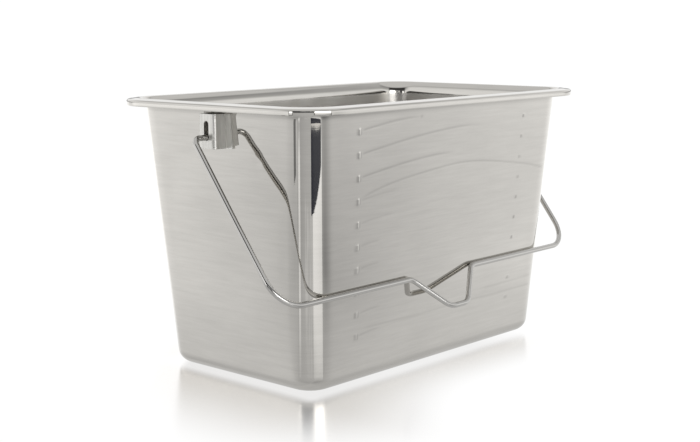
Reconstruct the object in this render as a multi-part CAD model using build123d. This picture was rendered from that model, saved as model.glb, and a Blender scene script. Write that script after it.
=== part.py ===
from build123d import *
import math
import os

# A rectangular stainless-steel feed bucket with a swinging wire bail.
# Millimetres, +Z up. The origin is at the centre of the footprint, on the surface the bucket stands on.
# X runs along the long side, and the bail rests against the long side that faces -Y.

# ---- driving dimensions: the drawn shell ----
HEIGHT = 216.0            # floor underside to the top of the rim
SHEET = 1.0               # sheet thickness of the shell
RIM_LENGTH = 352.0        # outside the turned-down lip, along X
RIM_DEPTH = 224.0         # outside the turned-down lip, along Y
RIM_CORNER = 35.0         # plan radius of the rim's corners
FLANGE_WIDTH = 15.0       # from the outside of the wall to the outside of the lip
LIP_HEIGHT = 5.0          # how far the edge of the flange is turned down
LIP_BEND = 2.0            # outer radius where the flange turns down
COVE = 8.0                # radius under the flange, where the wall turns outward
BASE_LENGTH = 292.0       # outside the walls, carried down to the floor plane
BASE_DEPTH = 163.0
TOP_CORNER = 20.0         # plan radius of the body's corners at the rim
BASE_CORNER = 22.0        # plan radius of the body's corners at the floor
FLOOR_EDGE = 11.0         # radius where the walls turn into the floor

# ---- driving dimensions: the bail ----
WIRE = 4.5                # diameter of the bail wire
PIVOT_HEIGHT = 191.0      # axis of the stubs, resting at the bottom of the bracket slots
BAIL_REACH = 147.0        # pivot axis to the middle of the crossbar wire
LEG_OFFSET = 185.0        # centre plane of each leg from the middle of the bucket
STUB_END = 163.5          # inner end of each stub from the middle of the bucket
STUB_BEND = 6.5           # centreline radius between stub and leg
CORNER_BEND = 24.0        # centreline radius between leg and crossbar
GRIP_HALF_WIDTH = 39.0    # half width of the hand grip where it leaves the crossbar
GRIP_DEPTH = 30.0         # how far the grip stands out beyond the crossbar
GRIP_TIP_HALF_WIDTH = 11.0
GRIP_SHOULDER_BEND = 9.0
GRIP_TIP_BEND = 14.0
REST_GAP = 0.3            # between the resting crossbar and the wall

# ---- driving dimensions: the bail brackets ----
BRACKET_SHEET = 1.5
BRACKET_FRONT = 172.0     # outer face of the bracket's front plate from the middle of the bucket
BRACKET_WIDTH = 17.5      # front plate, across Y
BRACKET_FOOT = 7.0        # each foot that is welded to the wall, across Y
BRACKET_BOTTOM = 182.5
BRACKET_TOP = 206.0
BRACKET_BEND = 2.5        # outer radius of the folds beside the front plate
SLOT_WIDTH = 5.2
SLOT_TOP = 203.5
SLOT_SEAT_GAP = 0.3       # below the resting stub

# ---- derived sizes ----
BODY_LENGTH = RIM_LENGTH - 2 * FLANGE_WIDTH
BODY_DEPTH = RIM_DEPTH - 2 * FLANGE_WIDTH
END_SLOPE = (BODY_LENGTH - BASE_LENGTH) / 2 / HEIGHT
SIDE_SLOPE = (BODY_DEPTH - BASE_DEPTH) / 2 / HEIGHT
WIRE_RADIUS = WIRE / 2


def end_wall_at(height):
    """Distance of the outside of an end wall from the middle of the bucket."""
    return BASE_LENGTH / 2 + END_SLOPE * height


def plan(length, depth, corner, height):
    """A rounded rectangle, centred on the origin, lying flat at a height."""
    return Plane.XY.offset(height) * RectangleRounded(length, depth, corner)


def tapered_body(inset, floor, top):
    """The filled space inside the walls, moved inward by an inset, from a floor height to a top height."""
    def section(height):
        share = height / HEIGHT
        length = BASE_LENGTH + (BODY_LENGTH - BASE_LENGTH) * share - 2 * inset
        depth = BASE_DEPTH + (BODY_DEPTH - BASE_DEPTH) * share - 2 * inset
        corner = BASE_CORNER + (TOP_CORNER - BASE_CORNER) * share - inset
        return plan(length, depth, corner, height)

    body = loft([section(floor), section(top)], ruled=True)
    floor_edges = body.faces().sort_by(Axis.Z)[0].edges()
    return fillet(floor_edges, FLOOR_EDGE - inset)


def make_shell():
    """One drawn sheet: floor, four tapered walls, outward flange and turned-down lip."""
    outer = tapered_body(0, 0, HEIGHT - SHEET)
    flange_plan = plan(RIM_LENGTH, RIM_DEPTH, RIM_CORNER, HEIGHT - LIP_HEIGHT)
    rim_block = extrude(flange_plan, LIP_HEIGHT)
    rim_block = fillet(rim_block.faces().sort_by(Axis.Z)[-1].edges(), LIP_BEND)
    under_plan = plan(RIM_LENGTH - 2 * SHEET, RIM_DEPTH - 2 * SHEET, RIM_CORNER - SHEET, HEIGHT - LIP_HEIGHT)
    under = extrude(under_plan, LIP_HEIGHT - SHEET)
    under = fillet(under.faces().sort_by(Axis.Z)[-1].edges(), LIP_BEND - SHEET)
    solid = outer + (rim_block - under)

    def at_cove(edge):
        middle = edge.center()
        return abs(middle.Z - (HEIGHT - SHEET)) < 0.01 and abs(middle.X) < end_wall_at(HEIGHT) + 1

    inner_width = BODY_DEPTH / 2 + 1
    cove_edges = [edge for edge in solid.edges() if at_cove(edge) and abs(edge.center().Y) < inner_width]
    solid = fillet(cove_edges, COVE)
    cavity = tapered_body(SHEET, SHEET, HEIGHT)
    solid = solid - cavity
    mouth_edges = solid.faces().sort_by(Axis.Z)[-1].inner_wires()[0].edges()
    return fillet(mouth_edges, COVE + SHEET)


def rest_angle():
    """Angle of the legs from straight down when the crossbar rests on the front wall."""
    lean = math.atan(SIDE_SLOPE)
    reach = BAIL_REACH / math.cos(lean)
    stand_off = (WIRE_RADIUS + REST_GAP) / math.cos(lean)
    offset = BASE_DEPTH / 2 + SIDE_SLOPE * PIVOT_HEIGHT + stand_off
    return math.degrees(math.asin(offset / reach) - lean)


def make_bail():
    """One bent wire: stub, leg, crossbar with a hand grip, leg, stub. Drawn hanging down, then swung forward."""
    half = [
        (-STUB_END, 0),
        (-LEG_OFFSET, 0),
        (-LEG_OFFSET, -BAIL_REACH),
        (-GRIP_HALF_WIDTH, -BAIL_REACH),
        (-GRIP_TIP_HALF_WIDTH, -BAIL_REACH - GRIP_DEPTH),
    ]
    points = half + [(-x, z) for x, z in reversed(half)]
    bends = [STUB_BEND, CORNER_BEND, GRIP_SHOULDER_BEND, GRIP_TIP_BEND]
    path = FilletPolyline([(x, 0, z) for x, z in points], radius=bends + bends[::-1])
    section = Plane(origin=(-STUB_END, 0, 0), z_dir=(-1, 0, 0)) * Circle(WIRE_RADIUS)
    wire = sweep(section, path)
    return Pos(0, 0, PIVOT_HEIGHT) * Rot(-rest_angle(), 0, 0) * wire


def make_bracket():
    """A folded hat-section bracket on the -X end wall, with an upright slot for the bail's stub."""
    height = BRACKET_TOP - BRACKET_BOTTOM
    middle = (BRACKET_TOP + BRACKET_BOTTOM) / 2
    channel_depth = BRACKET_FRONT - end_wall_at(BRACKET_BOTTOM) + BRACKET_SHEET
    front = -BRACKET_FRONT + channel_depth / 2
    outside = Pos(front, 0, middle) * Box(channel_depth, BRACKET_WIDTH, height)
    folds = outside.edges().filter_by(Axis.Z).sort_by(Axis.X)[:2]
    outside = fillet(folds, BRACKET_BEND)
    inner_width = BRACKET_WIDTH - 2 * BRACKET_SHEET
    inside = Pos(front + BRACKET_SHEET, 0, middle) * Box(channel_depth, inner_width, height)
    folds = inside.edges().filter_by(Axis.Z).sort_by(Axis.X)[:2]
    inside = fillet(folds, BRACKET_BEND - BRACKET_SHEET)
    channel = outside - inside

    lean = math.degrees(math.atan(END_SLOPE))
    wall_frame = Pos(-end_wall_at(middle), 0, middle) * Rot(0, -lean, 0)
    foot_offset = (BRACKET_WIDTH + BRACKET_FOOT) / 2
    feet = [
        wall_frame * Pos(-BRACKET_SHEET / 2, side * foot_offset, 0) * Box(BRACKET_SHEET, BRACKET_FOOT, height)
        for side in (-1, 1)
    ]
    wall = wall_frame * Pos(HEIGHT / 2, 0, 0) * Box(HEIGHT, HEIGHT, HEIGHT)
    bracket = channel + feet[0] + feet[1] - wall

    slot_bottom = PIVOT_HEIGHT - WIRE_RADIUS - SLOT_SEAT_GAP
    slot_length = SLOT_TOP - slot_bottom
    slot_middle = (SLOT_TOP + slot_bottom) / 2
    slot_plane = Plane(origin=(-BRACKET_FRONT, 0, slot_middle), x_dir=(0, 0, 1), z_dir=(1, 0, 0))
    slot = extrude(slot_plane * SlotOverall(slot_length, SLOT_WIDTH), 2 * BRACKET_SHEET, both=True)
    return bracket - slot


os.makedirs("parts", exist_ok=True)
left_bracket = make_bracket()
export_step(make_shell(), "parts/bucket_shell.step")
export_step(left_bracket, "parts/left_bracket.step")
export_step(Rot(0, 0, 180) * left_bracket, "parts/right_bracket.step")
export_step(make_bail(), "parts/bail.step")
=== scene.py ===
import math
import bpy
import numpy as np
from mathutils import Matrix, Vector


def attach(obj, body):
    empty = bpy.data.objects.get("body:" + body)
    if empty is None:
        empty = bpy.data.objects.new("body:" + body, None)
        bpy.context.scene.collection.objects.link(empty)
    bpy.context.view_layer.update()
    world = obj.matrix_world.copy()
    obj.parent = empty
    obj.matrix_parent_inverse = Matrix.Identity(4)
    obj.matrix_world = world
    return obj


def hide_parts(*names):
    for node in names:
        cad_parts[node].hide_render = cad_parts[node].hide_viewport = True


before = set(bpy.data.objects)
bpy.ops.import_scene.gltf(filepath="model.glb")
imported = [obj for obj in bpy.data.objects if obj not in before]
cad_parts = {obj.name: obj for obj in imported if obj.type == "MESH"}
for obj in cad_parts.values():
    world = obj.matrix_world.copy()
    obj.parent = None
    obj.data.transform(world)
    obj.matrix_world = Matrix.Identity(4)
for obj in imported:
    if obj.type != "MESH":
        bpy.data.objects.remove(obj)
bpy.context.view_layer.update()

# A polished stainless-steel feed bucket with a wire bail, on a pale table.
# The shell and the bail are modelled along the CAD sizes; the brackets are the CAD meshes with eased edges.
# The bucket's sizes are in millimetres, and the studio's are in metres, as Blender has them.

MM = 0.001

# ---- sizes of the real bucket, as in the CAD model ----
HEIGHT = 216.0
SHEET = 1.0
RIM_LENGTH, RIM_DEPTH, RIM_CORNER = 352.0, 224.0, 35.0
FLANGE = 15.0
LIP_HEIGHT = 5.0
LIP_BEND = 2.0
BASE_LENGTH, BASE_DEPTH, BASE_CORNER = 292.0, 163.0, 22.0
TOP_CORNER = 20.0
FLOOR_EDGE = 11.0
WIRE = 4.5
PIVOT = 191.0
BAIL_REACH = 147.0
LEG_OFFSET = 185.0
STUB_END = 163.5
STUB_BEND = 6.5
CORNER_BEND = 24.0
GRIP_HALF_WIDTH = 39.0
GRIP_DEPTH = 30.0
GRIP_TIP_HALF_WIDTH = 11.0
GRIP_SHOULDER_BEND = 9.0
GRIP_TIP_BEND = 14.0
REST_GAP = 0.3
BRACKET_TOP = 206.0

BODY_LENGTH = RIM_LENGTH - 2 * FLANGE
BODY_DEPTH = RIM_DEPTH - 2 * FLANGE
END_SLOPE = (BODY_LENGTH - BASE_LENGTH) / 2 / HEIGHT
SIDE_SLOPE = (BODY_DEPTH - BASE_DEPTH) / 2 / HEIGHT

# ---- what the visual model adds ----
CREST = 217.0             # highest line of the rim, just outside the mouth
CREST_OUT = 6.5           # its distance outside the walls
DROOP = 0.13              # fall of the flange towards the lip
MOUTH_RISE = 10.0         # height over which the wall turns outward
WIRE_EDGE = 0.6           # rounding of the wire's ends
BRACKET_TUCK = 2.6        # the bracket's sheet runs on a little way up under the flange
BRACKET_EDGE = 0.25       # rounding of the bracket's edges

# litre scale on the front wall: a rib at the left and a dot at the right for each litre
MARK_TOP = 196.0
MARK_STEP = 17.6
MARK_COUNT = 10
MARK_LEFT = -0.668        # share of the half length where the left column stands
MARK_RIGHT = 0.645
RIB_RELIEF, RIB_WIDTH, RIB_HALF_HEIGHT = 0.24, 0.95, 1.6
DOT_RELIEF, DOT_WIDTH, DOT_HALF_HEIGHT = 0.22, 0.8, 0.7
SCRIBE_LENGTHS = (72, 140, 112, 45, 40, 24, 24, 24, 24, 24)   # the faint line that rises from each rib
SCRIBE_RISE = 0.096       # its rise, as a share of its length
CREASE_DEPTH = 0.05       # of these lines and of the creases
# how dark the painted shade is beside the ribs and dots, along the rising lines and along the creases, and at
# most
RIB_PAINTED_SHADE, DOT_PAINTED_SHADE, SCRIBE_PAINTED_SHADE, CREASE_PAINTED_SHADE = 0.30, 0.42, 0.20, 0.16
DARKEST_PAINTED_SHADE = 0.6

# shallow creases along the front wall, darkened along their lines with painted shade: (start as a share of
# the half length, crest, height, drop, strength)
CREASES = ((-0.66, 22, 162, 15, 1.0), (-0.60, 30, 43, 0, 0.55), (0.36, 90, 51, 2, 0.55))
CREASE_REACH = 118.0      # distance from the crest over which a crease falls by its drop

# dents in the left wall beside the bracket, where the weld drew the sheet: (place along Y, height, depth)
WELD_DENTS = ((-37.5, 198, 0.040), (-39.0, 190, 0.028), (-40.0, 180, 0.048), (-40.5, 173, 0.064),
              (-41.5, 165, 0.032))

# the walls are uneven and marked between two heights, and the unevenness fades over a share of each half wall
WALL_FROM, WALL_TO = 14.0, HEIGHT - 9.0
CORNER_FADE = 0.16
INSIDE_DENT_FROM, INSIDE_DENT = 150.0, 0.12    # small dents inside the far walls: lowest height, depth

# slow waves of a drawn sheet: (wavelength along the wall, wavelength in height, size)
WAVES = ((173, 131, 0.10), (97, 210, 0.06), (61, 88, 0.025), (240, 57, 0.02))

# ---- fineness of the shell's mesh ----
CORNER_STEPS = 26
MOUTH_STEPS = 14
LIP_STEPS = 8
CURL_STEPS = 8            # round the cut edge of the lip
FLOOR_EDGE_STEPS = 12
MARK_ROW, MARK_ROWS_REACH = 0.45, 3.2     # spacing of the rows at the litre marks, and how near they start
UPPER_ROW, UPPER_ROWS_FROM = 0.8, 150.0   # spacing of the other rows above a height
LOWER_ROW = 1.3
STRAIGHT_RATIO = 1.16     # a wall's length over the length of its straight part

# ---- steel ----
SMUDGE_SCALE, GRAIN_SCALE = 14.0, 60.0    # per metre
DULL_ROUGHNESS, DULL_LOSS = 0.27, 0.25    # what the duller inside gains in roughness and loses in metallic

# ---- camera and studio, in metres and degrees (azimuth 0 looks at the front wall) ----
CAMERA_AZIMUTH, CAMERA_ELEVATION, CAMERA_ROLL = -47.785, 8.95, -0.30
CAMERA_DISTANCE = 1.11147
CAMERA_TARGET = Vector((-0.00311, 0.00857, 0.10664))
SENSOR_WIDTH, FOCAL_LENGTH = 36.0, 66.632

VIEW_AZIMUTH = -47.8      # the camera's side, on which the room is dark
NEAR_CORNER = Vector((-BODY_LENGTH / 2, -BODY_DEPTH / 2, 0)) * MM   # under the rim's near corner
NEAR_FOOT = Vector((-BASE_LENGTH / 2, -BASE_DEPTH / 2, 0)) * MM
TABLE_HALF_WIDTH = 6.0
TABLE_LEVEL = -0.0002
CARD_LEVEL = -0.0003      # dark and pale cards on the table that only the steel sees
TWIN_LEVEL = -0.0004      # the table that only the steel sees
TABLE_IOR = 1.6
TABLE_EDGE = 0.345        # from the near corner to the table's front edge
WINDOW_DISTANCE = 1.7     # from the origin to the window in the dark room

# brightness of the table round the near corner, as the steel sees it: (azimuth, strength)
TABLE_GLOW = ((-180, 0.80), (-154, 0.75), (-143, 0.63), (-133, 0.38), (-105, 0.40), (-60, 0.62), (-20, 0.60),
              (5, 0.40), (16, 0.17), (28, 0.16), (38, 0.24), (46, 0.33), (58, 0.49), (72, 0.74), (95, 0.85),
              (180, 0.80))
FOOT_GLOW = 0.77          # the strength they draw together to at the corner itself


# ---------------------------------------------------------------- shell mesh
def ease(values):
    """A smooth step from 0 to 1."""
    values = np.clip(values, 0.0, 1.0)
    return values * values * (3 - 2 * values)


def unit_corner(count, ramp):
    """Quarter turn with eased curvature: distances in from the two sides, for a corner of radius 1."""
    steps = 800
    s = np.linspace(0, 1, steps + 1)
    bend = np.minimum(1.0, np.minimum(s, 1 - s) / ramp)
    angle = np.concatenate([[0], np.cumsum((bend[1:] + bend[:-1]) / 2)])
    angle *= math.pi / 2 / angle[-1]
    middle = (angle[1:] + angle[:-1]) / 2
    u = np.concatenate([[0], np.cumsum(np.sin(middle))])
    v = np.concatenate([[0], np.cumsum(np.cos(middle))])
    scale = (1 - math.cos(math.pi / 4)) / u[steps // 2]
    u, v = u * scale, v * scale
    v = v[-1] - v
    pick = np.linspace(0, steps, count + 1).round().astype(int)
    return u[pick], v[pick], u[-1], angle[pick]


CORNER_U, CORNER_V, SETBACK, CORNER_TURN = unit_corner(CORNER_STEPS, 0.22)


def graded(stations, coarse, fine, reach):
    """Values from -1 to 1 with a coarse spacing that turns fine near some stations."""
    values = [-1.0]
    while values[-1] < 1:
        gap = min((abs(values[-1] + coarse / 2 - s) for s in stations), default=9)
        values.append(values[-1] + (fine if gap < reach else coarse))
    values[-1] = 1.0
    if values[-1] - values[-2] < fine / 2:
        values.pop(-2)
    return np.array(values)


def columns(long_side, short_side):
    """The shell's columns, counter-clockwise from the -Y end of the +X side: a, p, b, q and the way outward.
    On a ring of half length A, half depth B and corner radius R, x = a A + p R and y = b B + q R."""
    table = []

    def straight(shares, along_x, sign):
        for share in shares:
            if along_x:
                table.append((share, -share * SETBACK, sign, 0.0, 0.0, sign))
            else:
                table.append((sign, 0.0, share, -share * SETBACK, sign, 0.0))

    def corner(sx, sy, start_x):
        for i in range(1, CORNER_STEPS):
            j = i if start_x else CORNER_STEPS - i
            nx, ny = math.cos(CORNER_TURN[j]), math.sin(CORNER_TURN[j])
            table.append((sx, -sx * CORNER_U[j], sy, -sy * CORNER_V[j], sx * nx, sy * ny))

    straight(short_side, False, 1)
    corner(1, 1, True)
    straight(long_side[::-1], True, 1)
    corner(-1, 1, False)
    straight(short_side[::-1], False, -1)
    corner(-1, -1, True)
    straight(long_side, True, -1)
    corner(1, -1, False)
    return np.array(table).T


def wall(height, inset=0.0):
    """Half length, half depth and corner radius of the walls at a height."""
    a = BASE_LENGTH / 2 + END_SLOPE * height - inset
    b = BASE_DEPTH / 2 + SIDE_SLOPE * height - inset
    r = BASE_CORNER + (TOP_CORNER - BASE_CORNER) * height / HEIGHT - inset
    return a, b, r


def floor_rings(radius, inset, level, steps):
    """Rings from the flat floor, round the floor edge, to the wall."""
    rings = []
    for i in range(steps + 1):
        turn = (math.pi / 2) * (1 - i / steps)
        ring = []
        for k, slope in enumerate((END_SLOPE, SIDE_SLOPE)):
            lean = math.atan(slope)
            angle = -turn + (-lean) * (i / steps)
            zc = level + radius
            base = wall(0, inset)[k] + slope * zc
            centre = base - radius * math.hypot(1, slope)
            ring.append((centre + radius * math.cos(angle), zc + radius * math.sin(angle)))
        z = (ring[0][1] + ring[1][1]) / 2
        a, b, r = wall(z, inset)
        inward = ((a - ring[0][0]) + (b - ring[1][0])) / 2
        rings.append((ring[0][0], ring[1][0], max(r - inward, 1.0), z))
    return rings


def rim_profile():
    """Upper side of the rim as (outward, height) points: mouth, drooping flange, bend and lip."""
    lean = (END_SLOPE + SIDE_SLOPE) / 2
    start = CREST - MOUTH_RISE
    inner = -SHEET - lean * (HEIGHT - start)
    reach = CREST_OUT - inner
    points = []
    tilt = math.atan(DROOP)
    for i in range(MOUTH_STEPS + 1):
        turn = (math.pi / 2) * i / MOUTH_STEPS
        ahead = lean * MOUTH_RISE * (math.sin(turn) - math.sin(turn) ** 2 / 2)
        points.append((inner + (reach - lean * MOUTH_RISE / 2) * (1 - math.cos(turn)) + ahead,
                       start + MOUTH_RISE * math.sin(turn)))
    bend_centre = FLANGE - LIP_BEND
    edge = CREST - DROOP * (bend_centre - CREST_OUT)
    last = points[-1][0]
    for share in (0.12, 0.3, 0.5, 0.7, 0.86):
        out = last + (bend_centre - last) * share
        sag = DROOP * (out - CREST_OUT) * min(1, share * 2.2) ** 0.5
        points.append((out, CREST - sag))
    for i in range(LIP_STEPS + 1):
        turn = tilt + (math.pi / 2 - tilt) * i / LIP_STEPS
        points.append((bend_centre + LIP_BEND * math.sin(turn),
                       edge - LIP_BEND + LIP_BEND * math.cos(turn)))
    points.append((FLANGE, edge - LIP_BEND - 0.8))
    points.append((FLANGE, HEIGHT - LIP_HEIGHT + SHEET / 2 + 0.8))
    points.append((FLANGE, HEIGHT - LIP_HEIGHT + SHEET / 2))
    return np.array(points)


def rim_rings(points):
    """Rings through profile points; the corner radius grows with the distance out."""
    start = CREST - MOUTH_RISE
    first_radius = wall(start, SHEET)[2]
    first_out = -SHEET - (END_SLOPE + SIDE_SLOPE) / 2 * (HEIGHT - start)
    rings = []
    for out, z in points:
        share = (out - first_out) / (FLANGE - first_out)
        radius = first_radius + (RIM_CORNER - first_radius) * share
        rings.append((BODY_LENGTH / 2 + out, BODY_DEPTH / 2 + out, radius, z))
    return rings


def offset_profile(points, distance):
    """The same profile moved sideways, to the other face of the sheet."""
    step = np.gradient(points, axis=0)
    step /= np.linalg.norm(step, axis=1)[:, None]
    normal = np.stack([step[:, 1], -step[:, 0]], axis=1)
    return points + normal * distance


def wall_heights():
    """Heights of the rows on the walls, closer together at the litre marks."""
    marks = [MARK_TOP - MARK_STEP * i for i in range(MARK_COUNT)]
    heights = []
    z = FLOOR_EDGE + 2.0
    while z < CREST - MOUTH_RISE - 1.0:
        heights.append(z)
        if min(abs(z + 0.5 - mark) for mark in marks) < MARK_ROWS_REACH:
            z += MARK_ROW
        else:
            z += UPPER_ROW if z > UPPER_ROWS_FROM else LOWER_ROW
    return heights


def bump(distance, width):
    """A smooth hump of height 1."""
    return np.exp(-(distance / width) ** 2)


def wall_marks(x, z, half_length):
    """Litre marks of the front wall: outward relief in millimetres, and how dark the painted shade along them
    is.
    """
    relief = np.zeros_like(x)
    painted_shade = np.zeros_like(x)
    for i in range(MARK_COUNT):
        level = MARK_TOP - MARK_STEP * i
        left = MARK_LEFT * half_length(level)
        right = MARK_RIGHT * half_length(level)
        tall = bump(np.maximum(np.abs(z - level) - RIB_HALF_HEIGHT, 0), 0.8)
        relief += RIB_RELIEF * bump(x - left, RIB_WIDTH) * tall
        # painted shade on both sides of the rib
        painted_shade += RIB_PAINTED_SHADE * tall * (bump(x - left - 1.7, 0.7) + 0.8 * bump(x - left + 1.7, 0.7))
        short = bump(np.maximum(np.abs(z - level) - DOT_HALF_HEIGHT, 0), 0.8)
        relief += DOT_RELIEF * bump(x - right, DOT_WIDTH) * short
        # painted shade beside the dot
        painted_shade += DOT_PAINTED_SHADE * bump(x - right - 0.6, 1.1) * short

        length = SCRIBE_LENGTHS[i]
        run = (x - left - 2) / length
        line = level + 0.6 + SCRIBE_RISE * length * np.sin(np.clip(run, 0, 1) * math.pi / 2)
        fade = ease((x - left - 2) / 3) * ease((1.06 - run) / 0.3)
        strength = 1.0 if i < 3 else 0.5
        relief -= CREASE_DEPTH * strength * fade * bump(z - line, 1.0)
        # painted shade along the rising line
        painted_shade += SCRIBE_PAINTED_SHADE * strength * fade * bump(z - line, 0.9)
        if i == 0:
            # a dot of painted shade ends the first line
            painted_shade += RIB_PAINTED_SHADE * bump(x - left - length, 1.3) * bump(z - line, 1.3)

    share = x / half_length(150)
    for start, crest, height, drop, strength in CREASES:
        line = height - drop * ((x - crest) / CREASE_REACH) ** 2 + 0.5 * np.sin(x / 17.0)
        fade = strength * ease((share - start) / 0.07) * ease((0.93 - share) / 0.04)
        relief -= CREASE_DEPTH * fade * bump(z - line, 1.1)
        # painted shade along the crease
        painted_shade += CREASE_PAINTED_SHADE * fade * bump(z - line, 0.9)
    return relief, np.clip(painted_shade, 0, DARKEST_PAINTED_SHADE)


def weld_dents(y, z):
    """How far the left wall is drawn in beside the bracket."""
    return sum(depth * bump(y - across, 3.2) * bump(z - level, 3.0) for across, level, depth in WELD_DENTS)


def wave(along_wall, z, seed):
    """Slow unevenness of a drawn sheet wall, in millimetres."""
    total = np.zeros_like(along_wall)
    for k, (length, rise, size) in enumerate(WAVES):
        sideways = np.sin(2 * math.pi * along_wall / length + 1.7 * seed + k)
        upward = np.sin(2 * math.pi * z / rise + 0.9 * seed + 2.1 * k)
        total += size * sideways * upward
    return total


def shell_rings():
    """Rings (half length, half depth, corner radius, height) of the whole sheet: up the outside, round the
    lip, over the rim and down the inside. Also how many of them are on the outside and on the inside."""
    upper = rim_profile()
    under = offset_profile(upper, SHEET)
    half = SHEET / 2
    curl = [(FLANGE - half + half * math.cos(turn), HEIGHT - LIP_HEIGHT + half - half * math.sin(turn))
            for turn in np.linspace(math.pi, 0, CURL_STEPS + 1)[1:-1]]
    heights = wall_heights()
    outer = floor_rings(FLOOR_EDGE, 0.0, 0.0, FLOOR_EDGE_STEPS)
    outer += [(*wall(z), z) for z in heights]
    inner = [(*wall(z, SHEET), z) for z in heights[::-1]]
    inner += floor_rings(FLOOR_EDGE - SHEET, SHEET, SHEET, FLOOR_EDGE_STEPS)[::-1]
    rim = rim_rings(under) + rim_rings(curl) + rim_rings(upper[::-1])
    return np.array(outer + rim + inner), len(outer), len(inner)


def shell_surface(rings, outer_count, inner_count, table):
    """Arrays of x, y and z by ring and column, the painted shade of each vertex and the dullness of each
    ring.
    """
    a, b, r, level = (rings[:, k:k + 1] for k in range(4))
    along_x, radius_x, along_y, radius_y, out_x, out_y = (table[k][None, :] for k in range(6))
    x = along_x * a + radius_x * r
    y = along_y * b + radius_y * r
    z = np.repeat(level, table.shape[1], axis=1)

    # slow unevenness of the four walls, faded out at the rim, the floor and the corners
    fade = ease((z - WALL_FROM) / 30) * ease((WALL_TO - z) / 22)
    front = (out_y < -0.99).astype(float)
    back = (out_y > 0.99).astype(float)
    left = (out_x < -0.99).astype(float)
    right = (out_x > 0.99).astype(float)
    soft_x = ease((1 - np.abs(along_x)) / CORNER_FADE)
    soft_y = ease((1 - np.abs(along_y)) / CORNER_FADE)
    y -= front * fade * soft_x * wave(x, z, 1.0)
    y += back * fade * soft_x * wave(x, z, 2.3)
    x -= left * fade * soft_y * wave(y, z, 3.1)
    x += right * fade * soft_y * wave(y, z, 4.7)

    # the inside of the far walls is a little more uneven near the mouth
    number = np.arange(len(rings))
    is_inside = number >= len(rings) - inner_count
    near_mouth = is_inside[:, None] * ease((z - INSIDE_DENT_FROM) / 30) * ease((WALL_TO - z) / 8)
    dents = np.sin(x / 5.1 + 1.3 * np.sin(x / 23)) * np.sin(z / 9.0 + x / 40)
    y += back * near_mouth * soft_x * INSIDE_DENT * dents
    dents = np.sin(y / 4.6 + 1.1 * np.sin(y / 19)) * np.sin(z / 8.0 + y / 33)
    x += right * near_mouth * soft_y * INSIDE_DENT * dents

    is_outside = (number < outer_count)[:, None]
    edge = ease((z - WALL_FROM) / 8) * ease((WALL_TO - z) / 6)
    relief, painted_shade = wall_marks(x, z, lambda height: wall(height)[0])
    y -= front * edge * relief
    x += left * is_outside * weld_dents(y, z)
    dull = is_inside * ease((HEIGHT - 4 - rings[:, 3]) / 6)
    return x, y, z, front * edge * painted_shade * is_outside, dull


def fill_floor(verts, faces, loop, long_steps, short_steps, level, facing_up):
    """A grid of quads across a floor, whose outline runs from the apex of the (+X, +Y) corner round by -X."""
    back = loop[0:long_steps + 1]
    left = loop[long_steps:long_steps + short_steps + 1]
    front = loop[long_steps + short_steps:2 * long_steps + short_steps + 1][::-1]
    right = (loop + loop[:1])[2 * long_steps + short_steps:][::-1]
    grid = [[None] * (short_steps + 1) for _ in range(long_steps + 1)]
    for i in range(long_steps + 1):
        for j in range(short_steps + 1):
            if j == 0:
                grid[i][j] = back[i]
            elif j == short_steps:
                grid[i][j] = front[i]
            elif i == 0:
                grid[i][j] = right[j]
            elif i == long_steps:
                grid[i][j] = left[j]
            else:
                north, south = verts[back[i]], verts[front[i]]
                east, west = verts[right[j]], verts[left[j]]
                down = (north[1] - east[1]) / max(north[1] - south[1], 1e-9)
                across = (east[0] - north[0]) / max(east[0] - west[0], 1e-9)
                grid[i][j] = len(verts)
                verts.append((north[0] * (1 - down) + south[0] * down,
                              east[1] * (1 - across) + west[1] * across, level * MM))
    for i in range(long_steps):
        for j in range(short_steps):
            quad = (grid[i][j], grid[i + 1][j], grid[i + 1][j + 1], grid[i][j + 1])
            faces.append(quad if facing_up else quad[::-1])


def add_attribute(obj, name, values, beyond):
    """A number per vertex. The vertices after the given ones all get the value `beyond`."""
    everywhere = np.full(len(obj.data.vertices), beyond, dtype=np.float32)
    everywhere[:len(values)] = values
    obj.data.attributes.new(name, "FLOAT", "POINT").data.foreach_set("value", everywhere)


def build_shell():
    """The drawn sheet as one closed mesh, finer where the litre marks stand."""
    mark_columns = [MARK_LEFT * STRAIGHT_RATIO, MARK_RIGHT * STRAIGHT_RATIO]
    long_side = graded(mark_columns, coarse=0.018, fine=0.0042, reach=0.02)
    short_side = graded([], coarse=0.045, fine=0.045, reach=0)
    table = columns(long_side, short_side)
    rings, outer_count, inner_count = shell_rings()
    x, y, z, painted_shade, dull = shell_surface(rings, outer_count, inner_count, table)
    verts = list(map(tuple, np.stack([x, y, z], axis=-1).reshape(-1, 3) * MM))

    count = table.shape[1]
    faces = []
    for k in range(len(rings) - 1):
        row, above = k * count, (k + 1) * count
        for j in range(count):
            nj = (j + 1) % count
            faces.append((row + j, row + nj, above + nj, above + j))

    apex = len(short_side) + CORNER_STEPS // 2 - 1
    long_steps = len(long_side) + CORNER_STEPS - 1
    short_steps = len(short_side) + CORNER_STEPS - 1
    for ring, level, facing_up in ((0, 0.0, False), (len(rings) - 1, SHEET, True)):
        loop = [ring * count + (apex + i) % count for i in range(count)]
        fill_floor(verts, faces, loop, long_steps, short_steps, level, facing_up)

    shell = make_mesh("bucket_shell_sheet", verts, faces)
    # painted shade along the litre marks, the rising lines and the creases
    add_attribute(shell, "painted_shade", painted_shade.reshape(-1), 0.0)
    add_attribute(shell, "dull", np.repeat(dull, count), 1.0)
    return shell


def make_mesh(name, verts, faces):
    mesh = bpy.data.meshes.new(name)
    mesh.from_pydata(verts, [], faces)
    mesh.validate()
    mesh.polygons.foreach_set("use_smooth", [True] * len(mesh.polygons))
    mesh.update()
    obj = bpy.data.objects.new(name, mesh)
    bpy.context.scene.collection.objects.link(obj)
    return obj


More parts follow.
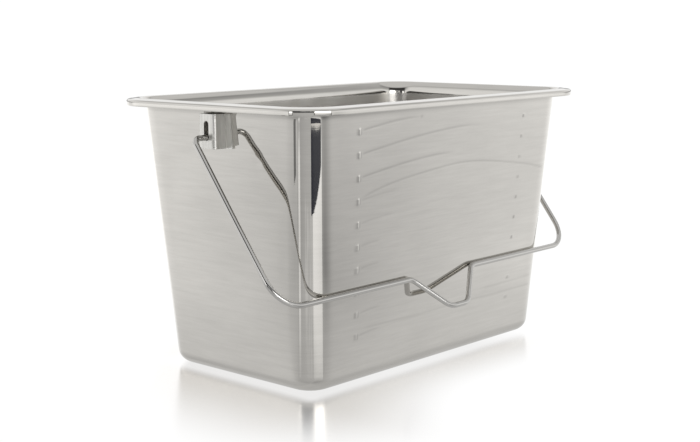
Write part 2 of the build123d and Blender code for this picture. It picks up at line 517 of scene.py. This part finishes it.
# ---------------------------------------------------------------- bail mesh
def rounded_path(points, radii, step=math.radians(3)):
    """A polyline whose inner corners are replaced by arcs of the given radii."""
    path = [Vector(points[0])]
    for i in range(1, len(points) - 1):
        here = Vector(points[i])
        back = (Vector(points[i - 1]) - here).normalized()
        ahead = (Vector(points[i + 1]) - here).normalized()
        opening = back.angle(ahead)
        reach = radii[i - 1] / math.tan(opening / 2)
        centre = here + (back + ahead).normalized() * (radii[i - 1] / math.sin(opening / 2))
        start = here + back * reach - centre
        end = here + ahead * reach - centre
        turn = start.angle(end)
        count = max(4, round(turn / step))
        for k in range(count + 1):
            s = k / count
            arm = (start * math.sin((1 - s) * turn) + end * math.sin(s * turn)) / math.sin(turn)
            path.append(centre + arm)
    path.append(Vector(points[-1]))
    return path


def subdivided(path, longest):
    """The same path with its long stretches cut into pieces."""
    result = [path[0]]
    for p in path[1:]:
        gap = (p - result[-1]).length
        pieces = max(1, math.ceil(gap / longest))
        begin = result[-1].copy()
        for k in range(1, pieces + 1):
            result.append(begin.lerp(p, k / pieces))
    return result


def tube(name, path, radius, sides=24, edge=WIRE_EDGE):
    """A round wire along a path, with rounded ends that stand proud of the path by `edge`."""
    rings = []
    normal = (path[1] - path[0]).normalized().orthogonal().normalized()
    for i, point in enumerate(path):
        before = path[max(i - 1, 0)]
        after = path[min(i + 1, len(path) - 1)]
        ahead = (after - before).normalized()
        normal = (normal - ahead * normal.dot(ahead)).normalized()
        rings.append((point, normal, ahead.cross(normal), ahead, radius))

    def cap(ring, sign):
        point, normal, across, ahead, _ = ring
        extra = []
        steps = 4
        for k in range(1, steps + 1):
            turn = math.pi / 2 * k / steps
            centre = point + ahead * sign * edge * math.sin(turn)
            extra.append((centre, normal, across, ahead, radius - edge + edge * math.cos(turn)))
        extra.append((point + ahead * sign * edge, normal, across, ahead, (radius - edge) * 0.5))
        return extra

    full = cap(rings[0], -1)[::-1] + rings + cap(rings[-1], 1)
    verts = []
    for point, normal, across, _, size in full:
        for k in range(sides):
            angle = 2 * math.pi * k / sides
            verts.append(point + normal * (size * math.cos(angle)) + across * (size * math.sin(angle)))
    faces = []
    for i in range(len(full) - 1):
        for k in range(sides):
            nk = (k + 1) % sides
            faces.append((i * sides + k, i * sides + nk, (i + 1) * sides + nk, (i + 1) * sides + k))
    for i, first in ((0, True), (len(full) - 1, False)):
        centre = len(verts)
        verts.append(full[i][0])
        for k in range(sides):
            here, beside = i * sides + k, i * sides + (k + 1) % sides
            faces.append((centre, beside, here) if first else (centre, here, beside))
    return make_mesh(name, [tuple(v * MM) for v in verts], faces)


def build_bail():
    """One bent wire, resting on the front wall."""
    lean = math.atan(SIDE_SLOPE)
    stand_off = (WIRE / 2 + REST_GAP) / math.cos(lean)
    offset = BASE_DEPTH / 2 + SIDE_SLOPE * PIVOT + stand_off
    angle = math.asin(offset / (BAIL_REACH / math.cos(lean))) - lean
    # the path stops short of the stubs' ends, where the rounded ends of tube() stand proud of it
    half = [
        (-STUB_END - WIRE_EDGE, 0),
        (-LEG_OFFSET, 0),
        (-LEG_OFFSET, -BAIL_REACH),
        (-GRIP_HALF_WIDTH, -BAIL_REACH),
        (-GRIP_TIP_HALF_WIDTH, -BAIL_REACH - GRIP_DEPTH),
    ]
    flat = half + [(-x, z) for x, z in reversed(half)]
    bends = [STUB_BEND, CORNER_BEND, GRIP_SHOULDER_BEND, GRIP_TIP_BEND]
    points = [(x, z * math.sin(angle), PIVOT + z * math.cos(angle)) for x, z in flat]
    path = subdivided(rounded_path(points, bends + bends[::-1]), 9.0)
    return tube("bail_wire", path, WIRE / 2)


# ---------------------------------------------------------------- brackets
def build_bracket(node):
    """A CAD bracket with eased edges, its top edge drawn up under the flange."""
    mesh = bpy.data.objects[node].data.copy()
    mesh.materials.clear()
    for vertex in mesh.vertices:
        if vertex.co.z > (BRACKET_TOP - 0.6) * MM:
            vertex.co.z += BRACKET_TUCK * MM
    bracket = bpy.data.objects.new(node + "_sheet", mesh)
    bpy.context.scene.collection.objects.link(bracket)
    bevel = bracket.modifiers.new("eased_edges", "BEVEL")
    bevel.width = BRACKET_EDGE * MM
    bevel.segments = 2
    bevel.limit_method = "ANGLE"
    bevel.angle_limit = math.radians(40)
    return bracket


# ---------------------------------------------------------------- shader helpers
def new_material(name):
    mat = bpy.data.materials.new(name)
    mat.use_nodes = True
    nodes = mat.node_tree.nodes
    return mat, nodes, mat.node_tree.links, nodes["Principled BSDF"]


def maths(tree, operation, first, second=None, third=None, clamp=False):
    """A Math node whose inputs are sockets or plain numbers."""
    node = tree.nodes.new("ShaderNodeMath")
    node.operation = operation
    node.use_clamp = clamp
    for socket, value in zip(node.inputs, (first, second, third)):
        if value is None:
            continue
        if isinstance(value, (int, float)):
            socket.default_value = value
        else:
            tree.links.new(value, socket)
    return node.outputs["Value"]


def soft_step(tree, value, low, high, at_low=0.0, at_high=1.0):
    """A smooth change from one value to another while the input goes from low to high."""
    node = tree.nodes.new("ShaderNodeMapRange")
    node.interpolation_type = "SMOOTHSTEP"
    node.inputs["From Min"].default_value = low
    node.inputs["From Max"].default_value = high
    node.inputs["To Min"].default_value = at_low
    node.inputs["To Max"].default_value = at_high
    tree.links.new(value, node.inputs["Value"])
    return node.outputs["Result"]


def along(tree, vector, axis, origin=(0, 0, 0)):
    """Distance of a position from an origin along an axis."""
    shift = tree.nodes.new("ShaderNodeVectorMath")
    shift.operation = "SUBTRACT"
    shift.inputs[1].default_value = origin
    tree.links.new(vector, shift.inputs[0])
    dot = tree.nodes.new("ShaderNodeVectorMath")
    dot.operation = "DOT_PRODUCT"
    dot.inputs[1].default_value = axis
    tree.links.new(shift.outputs["Vector"], dot.inputs[0])
    return dot.outputs["Value"]


def product(tree, *factors):
    """The product of two or more sockets."""
    total = factors[0]
    for factor in factors[1:]:
        total = maths(tree, "MULTIPLY", total, factor)
    return total


def object_place(tree):
    return tree.nodes.new("ShaderNodeTexCoord").outputs["Object"]


def noise(tree, place, scale, detail, roughness=0.5, distortion=0.0):
    node = tree.nodes.new("ShaderNodeTexNoise")
    node.inputs["Scale"].default_value = scale
    node.inputs["Detail"].default_value = detail
    node.inputs["Roughness"].default_value = roughness
    node.inputs["Distortion"].default_value = distortion
    tree.links.new(place, node.inputs["Vector"])
    return node.outputs["Fac"]


def stretched(tree, place, scale):
    node = tree.nodes.new("ShaderNodeMapping")
    node.inputs["Scale"].default_value = scale
    tree.links.new(place, node.inputs["Vector"])
    return node.outputs["Vector"]


def bumped(tree, height, strength, distance, normal=None):
    node = tree.nodes.new("ShaderNodeBump")
    node.inputs["Strength"].default_value = strength
    node.inputs["Distance"].default_value = distance
    tree.links.new(height, node.inputs["Height"])
    if normal:
        tree.links.new(normal, node.inputs["Normal"])
    return node.outputs["Normal"]


def attribute(tree, name):
    node = tree.nodes.new("ShaderNodeAttribute")
    node.attribute_name = name
    return node.outputs["Fac"]


def glow(name, roughness, strength):
    """A nearly black surface that glows evenly under its gloss."""
    mat, nodes, links, shader = new_material(name)
    shader.inputs["Base Color"].default_value = (0.02, 0.02, 0.02, 1)
    shader.inputs["Roughness"].default_value = roughness
    shader.inputs["Emission Color"].default_value = (1, 1, 1, 1)
    shader.inputs["Emission Strength"].default_value = strength
    return mat, shader


# ---------------------------------------------------------------- steel
def steel(name, tint, roughness, spread, scratch, grain_axis, streaks, ripple=0.0):
    """Stainless steel: slow smudges and fine directional grain in colour, roughness and bump.
    With a ripple it is the shell's sheet, which also has the painted shade of the marks and a duller inside."""
    mat, nodes, links, shader = new_material(name)
    tree = mat.node_tree
    place = object_place(tree)
    smudge = noise(tree, place, SMUDGE_SCALE, 4.0, 0.55)
    grain = noise(tree, stretched(tree, place, grain_axis), GRAIN_SCALE, 6.0, 0.7)

    ramp = nodes.new("ShaderNodeValToRGB")
    for stop, position, change in zip(ramp.color_ramp.elements, (0.25, 0.75), (-streaks, streaks)):
        stop.position = position
        stop.color = (*[c * (1 + change) for c in tint], 1)
    both = maths(tree, "MULTIPLY_ADD", grain, 2.0, smudge)
    links.new(maths(tree, "MULTIPLY", both, 1 / 3), ramp.inputs["Fac"])
    colour = ramp.outputs["Color"]

    slow = nodes.new("ShaderNodeMapRange")
    slow.inputs["From Min"].default_value = 0.3
    slow.inputs["From Max"].default_value = 0.7
    slow.inputs["To Min"].default_value = roughness - spread
    slow.inputs["To Max"].default_value = roughness + spread
    links.new(smudge, slow.inputs["Value"])
    rough = maths(tree, "MULTIPLY_ADD", grain, spread, slow.outputs["Result"])

    shader.inputs["Metallic"].default_value = 1.0
    normal = None
    if ripple:
        # the painted shade of the marks darkens the base colour
        darker = nodes.new("ShaderNodeMix")
        darker.data_type = "RGBA"
        darker.inputs["B"].default_value = (0.05, 0.05, 0.05, 1)
        links.new(attribute(tree, "painted_shade"), darker.inputs["Factor"])
        links.new(colour, darker.inputs["A"])
        colour = darker.outputs["Result"]
        dull = attribute(tree, "dull")
        rough = maths(tree, "MULTIPLY_ADD", dull, DULL_ROUGHNESS, rough)
        links.new(maths(tree, "MULTIPLY_ADD", dull, -DULL_LOSS, 1.0), shader.inputs["Metallic"])
        swell = noise(tree, stretched(tree, place, (1.0, 1.0, 5.0)), SMUDGE_SCALE, 1.5, distortion=0.4)
        normal = bumped(tree, swell, 1.0, ripple)
    links.new(colour, shader.inputs["Base Color"])
    links.new(rough, shader.inputs["Roughness"])
    links.new(bumped(tree, grain, scratch, 0.0001, normal), shader.inputs["Normal"])
    return mat


# ---------------------------------------------------------------- camera and studio
def direction(azimuth, elevation):
    """The unit vector towards an azimuth, counted from straight in front towards +X, and an elevation."""
    a, e = math.radians(azimuth), math.radians(elevation)
    return Vector((math.sin(a) * math.cos(e), -math.cos(a) * math.cos(e), math.sin(e)))


def build_camera():
    data = bpy.data.cameras.new("camera")
    data.sensor_width = SENSOR_WIDTH
    data.lens = FOCAL_LENGTH
    camera = bpy.data.objects.new("camera", data)
    bpy.context.scene.collection.objects.link(camera)
    back = direction(CAMERA_AZIMUTH, CAMERA_ELEVATION)
    place = Matrix.Translation(CAMERA_TARGET + back * CAMERA_DISTANCE)
    aim = back.to_track_quat("Z", "Y").to_matrix().to_4x4()
    camera.matrix_world = place @ aim @ Matrix.Rotation(math.radians(CAMERA_ROLL), 4, "Z")
    bpy.context.scene.camera = camera


def only_in_reflections(obj):
    obj.visible_camera = False
    obj.visible_shadow = False
    obj.visible_diffuse = False


def flat_piece(name, corners):
    obj = make_mesh(name, [tuple(c) for c in corners], [tuple(range(len(corners)))])
    return obj


def square(size, level):
    return [(-size, -size, level), (size, -size, level), (size, size, level), (-size, size, level)]


def beside_bucket(tree, place):
    """Distance of a point on the table from the bucket's footprint."""
    squares = []
    for axis, half in (((1, 0, 0), BASE_LENGTH / 2 * MM), ((0, 1, 0), BASE_DEPTH / 2 * MM)):
        gap = maths(tree, "SUBTRACT", maths(tree, "ABSOLUTE", along(tree, place, axis)), half)
        squares.append(maths(tree, "POWER", maths(tree, "MAXIMUM", gap, 0.0), 2.0))
    return maths(tree, "SQRT", maths(tree, "ADD", *squares))


def table_gloss(tree, place):
    """How strongly the table mirrors the bucket: beside it on the camera's side, and softly at its foot."""
    gap = beside_bucket(tree, place)
    side = along(tree, place, (1, 0, 0))
    towards = direction(VIEW_AZIMUTH, 0)
    across = maths(tree, "ABSOLUTE", along(tree, place, (-towards.y, towards.x, 0)))
    # the fade is shorter along the long side
    reach = product(tree, gap, soft_step(tree, side, -0.17, -0.02, 1.0, 2.0))
    return product(
        tree,
        soft_step(tree, reach, 0.015, 0.15, 3.9, 0.0),
        soft_step(tree, gap, 0.0, 0.018, 0.36, 1.0),
        soft_step(tree, side, -0.17, -0.02, 0.88, 0.6),
        soft_step(tree, along(tree, place, towards), -0.06, 0.02),
        soft_step(tree, across, 0.155, 0.175, 1.0, 0.0))


def build_table():
    """The white table top that the camera sees, with a faint gloss beside the bucket."""
    top = flat_piece("studio_floor", square(TABLE_HALF_WIDTH, TABLE_LEVEL))
    top.visible_glossy = False
    mat = bpy.data.materials.new("studio_floor")
    mat.use_nodes = True
    tree = mat.node_tree
    tree.nodes.clear()
    fresnel = tree.nodes.new("ShaderNodeFresnel")
    fresnel.inputs["IOR"].default_value = TABLE_IOR
    lit = tree.nodes.new("ShaderNodeEmission")
    lit.inputs["Strength"].default_value = 1.02
    gloss = tree.nodes.new("ShaderNodeBsdfGlossy")
    gloss.inputs["Color"].default_value = (0.99, 0.97, 0.95, 1)
    gloss.inputs["Roughness"].default_value = 0.20
    mix = tree.nodes.new("ShaderNodeMixShader")
    share = maths(tree, "MULTIPLY", table_gloss(tree, object_place(tree)), fresnel.outputs["Fac"], clamp=True)
    tree.links.new(share, mix.inputs["Fac"])
    tree.links.new(lit.outputs["Emission"], mix.inputs[1])
    tree.links.new(gloss.outputs["BSDF"], mix.inputs[2])
    output = tree.nodes.new("ShaderNodeOutputMaterial")
    tree.links.new(mix.outputs["Shader"], output.inputs["Surface"])
    top.data.materials.append(mat)


def build_table_twin():
    """The table top that only the steel sees: brighter and darker by azimuth round the near corner."""
    twin = flat_piece("studio_floor_in_reflections", square(TABLE_HALF_WIDTH, TWIN_LEVEL))
    only_in_reflections(twin)
    mat, shader = glow("studio_floor_in_reflections", 0.07, 1.0)
    tree = mat.node_tree
    place = object_place(tree)
    right = along(tree, place, (1, 0, 0), NEAR_FOOT)
    ahead = along(tree, place, (0, -1, 0), NEAR_FOOT)
    turn = maths(tree, "ARCTAN2", right, ahead)
    ramp = tree.nodes.new("ShaderNodeValToRGB")
    ramp.color_ramp.interpolation = "B_SPLINE"
    stops = ramp.color_ramp.elements
    for k, (azimuth, strength) in enumerate(TABLE_GLOW):
        position = azimuth / 360 + 0.5
        stop = stops[k] if k < 1 else stops.new(position)
        stop.position = position
        stop.color = (strength, strength, strength, 1)
    stops.remove(stops[len(stops) - 1])
    tree.links.new(maths(tree, "MULTIPLY_ADD", turn, 0.5 / math.pi, 0.5), ramp.inputs["Fac"])

    squares = [maths(tree, "POWER", distance, 2.0) for distance in (right, ahead)]
    distance = maths(tree, "SQRT", maths(tree, "ADD", *squares))
    spread = soft_step(tree, distance, 0.03, 0.32, 0.30, 1.0)
    difference = maths(tree, "SUBTRACT", ramp.outputs["Color"], FOOT_GLOW)
    strength = maths(tree, "MULTIPLY_ADD", difference, spread, FOOT_GLOW)
    gap = beside_bucket(tree, place)
    shadow = product(
        tree,
        soft_step(tree, gap, 0.02, 0.24, 0.84, 1.0),
        soft_step(tree, gap, 0.0, 0.018, 0.90, 1.0))
    tree.links.new(product(tree, strength, shadow), shader.inputs["Emission Strength"])
    twin.data.materials.append(mat)


def build_world():
    """White to the camera; to the steel, a lit tent with a dark room on the camera's side."""
    world = bpy.data.worlds.new("studio")
    bpy.context.scene.world = world
    world.use_nodes = True
    tree = world.node_tree
    sky = tree.nodes["Background"]
    sky.inputs["Color"].default_value = (1, 1, 1, 1)
    way = tree.nodes.new("ShaderNodeTexCoord").outputs["Generated"]
    up = along(tree, way, (0, 0, 1))
    ceiling = soft_step(tree, up, 0.45, 0.80, 1.05, 0.38)
    # beyond the bucket the lowest part of the tent is dimmer
    not_behind = soft_step(tree, along(tree, way, direction(VIEW_AZIMUTH, 0)), -0.6, -0.2)
    horizon = maths(tree, "MAXIMUM", soft_step(tree, up, 0.07, 0.145, 0.40, 1.0), not_behind)
    # the dark room is a cone round a direction a little above the camera
    room = soft_step(tree, along(tree, way, direction(VIEW_AZIMUTH, 24)), 0.62, 0.76, 1.0, 0.10)
    # the upper tent is dimmer on the room's side
    ahead = soft_step(tree, along(tree, way, direction(VIEW_AZIMUTH + 25, 0)), -0.25, 0.20)
    high = soft_step(tree, up, 0.24, 0.46)
    canopy = maths(tree, "MULTIPLY_ADD", product(tree, ahead, high), -0.5, 1.0)
    shade = product(tree, ceiling, horizon, room, canopy)
    lamp_overhead = soft_step(tree, up, 0.55, 0.72, 0.0, 0.80)
    shade = maths(tree, "MAXIMUM", shade, lamp_overhead)
    to_camera = maths(tree, "MULTIPLY", tree.nodes.new("ShaderNodeLightPath").outputs["Is Camera Ray"], 1.05)
    tree.links.new(maths(tree, "MAXIMUM", shade, to_camera), sky.inputs["Strength"])


def strip_light(name, start, end, distance, high, strength):
    """An upright soft light on the table, between two azimuths as the near corner sees it."""
    reach = distance / math.cos(math.radians(end - start) / 2)
    left = NEAR_CORNER + direction(start, 0) * reach
    right = NEAR_CORNER + direction(end, 0) * reach
    low, top = Vector((0, 0, 0.01)), Vector((0, 0, high))
    card = flat_piece(name, [left + low, right + low, right + top, left + top])
    mat, shader = glow(name, 0.9, strength)
    tree = mat.node_tree
    place = object_place(tree)
    width = (right - left).length
    across = along(tree, place, (right - left).normalized(), left)
    height = along(tree, place, (0, 0, 1))
    edge = min(0.08, width / 4)
    shape = product(
        tree,
        soft_step(tree, across, 0.0, edge),
        soft_step(tree, across, width - edge, width, 1.0, 0.0),
        soft_step(tree, height, 0.07, 0.20),
        soft_step(tree, height, high * 0.7, high, 1.0, 0.15))
    tree.links.new(maths(tree, "MULTIPLY", shape, strength), shader.inputs["Emission Strength"])
    card.data.materials.append(mat)
    only_in_reflections(card)


def table_card(name, outline, strength, tint=(1, 1, 1, 1), specular=0.5):
    """A card on the table, with its outline as (azimuth, distance) points seen from the near corner."""
    points = [NEAR_CORNER + direction(azimuth, 0) * distance for azimuth, distance in outline]
    card = flat_piece(name, [(point.x, point.y, CARD_LEVEL) for point in points])
    mat, shader = glow(name, 0.6, strength)
    shader.inputs["Emission Color"].default_value = tint
    shader.inputs["Specular IOR Level"].default_value = specular
    card.data.materials.append(mat)
    only_in_reflections(card)


def build_table_cards():
    """The unlit room past the table's front edge, a pale sheet behind it, and a thin dark thing on the left.
    They show on the near corner as a dark wedge, the patch above it, and a line."""
    azimuths = [VIEW_AZIMUTH + turn for turn in (9.5, 24.0, 39.5, 55.0)]
    front = [TABLE_EDGE / math.cos(math.radians(azimuth - VIEW_AZIMUTH)) for azimuth in azimuths]
    middle = [0.676, 0.690, 0.72, 0.80]
    back = [distance + 0.13 for distance in middle]
    dark = list(zip(azimuths, front)) + list(zip(azimuths, middle))[::-1]
    pale = list(zip(azimuths, middle)) + list(zip(azimuths, back))[::-1]
    table_card("dark_room", dark, 0.012, (0.7, 0.9, 2.0, 1), 0.05)
    table_card("pale_sheet", pale, 0.85, (1.0, 0.98, 0.95, 1), 0.05)
    table_card("dark_sliver", [(-117, 0.60), (-107, 0.60), (-107, 1.10), (-117, 1.10)], 0.14)


def build_window():
    """A dim window in the dark room, which lightens the inside of the bucket's far corner."""
    towards = direction(VIEW_AZIMUTH, 0)
    sideways = Vector((-towards.y, towards.x, 0))
    left, right, low, top = -0.55, 0.55, 0.42, 0.80
    corners = [towards * WINDOW_DISTANCE + sideways * across + Vector((0, 0, height))
               for across, height in ((left, low), (right, low), (right, top), (left, top))]
    card = flat_piece("window", corners)
    mat, shader = glow("window", 0.9, 0.5)
    tree = mat.node_tree
    panes = noise(tree, object_place(tree), 7.0, 2.0)
    tree.links.new(soft_step(tree, panes, 0.38, 0.62, 0.05, 1.0), shader.inputs["Emission Strength"])
    card.data.materials.append(mat)
    only_in_reflections(card)


def build_studio():
    build_world()
    build_table()
    build_table_twin()
    build_table_cards()
    build_window()
    strip_light("strip_front", -34, 11, 1.3, 0.80, 3.7)
    strip_light("strip_left", -97, -86, 1.2, 0.60, 2.9)


bpy.context.scene.view_settings.view_transform = "Standard"
build_camera()
build_studio()

polished = steel("polished_stainless", (0.605, 0.588, 0.556), roughness=0.03, spread=0.01, scratch=0.04,
                 grain_axis=(0.35, 0.35, 5.0), streaks=0.09, ripple=0.000028)
bracket_steel = steel("bracket_stainless", (0.70, 0.69, 0.66), roughness=0.34, spread=0.05, scratch=0.3,
                      grain_axis=(4.0, 9.0, 0.5), streaks=0.35)
# the wire's tint is darker than the sheet's as painted shade, for the dark room that the wire mirrors
wire_steel = steel("wire_stainless", (0.53, 0.52, 0.50), roughness=0.07, spread=0.02, scratch=0.12,
                   grain_axis=(1.0, 6.0, 6.0), streaks=0.05)

shell = build_shell()
shell.data.materials.append(polished)
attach(shell, "bucket")
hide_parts("bucket_shell")

bail = build_bail()
bail.data.materials.append(wire_steel)
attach(bail, "bail")
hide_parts("bail")

for node in ("left_bracket", "right_bracket"):
    bracket = build_bracket(node)
    bracket.data.materials.append(bracket_steel)
    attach(bracket, "bucket")
    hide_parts(node)
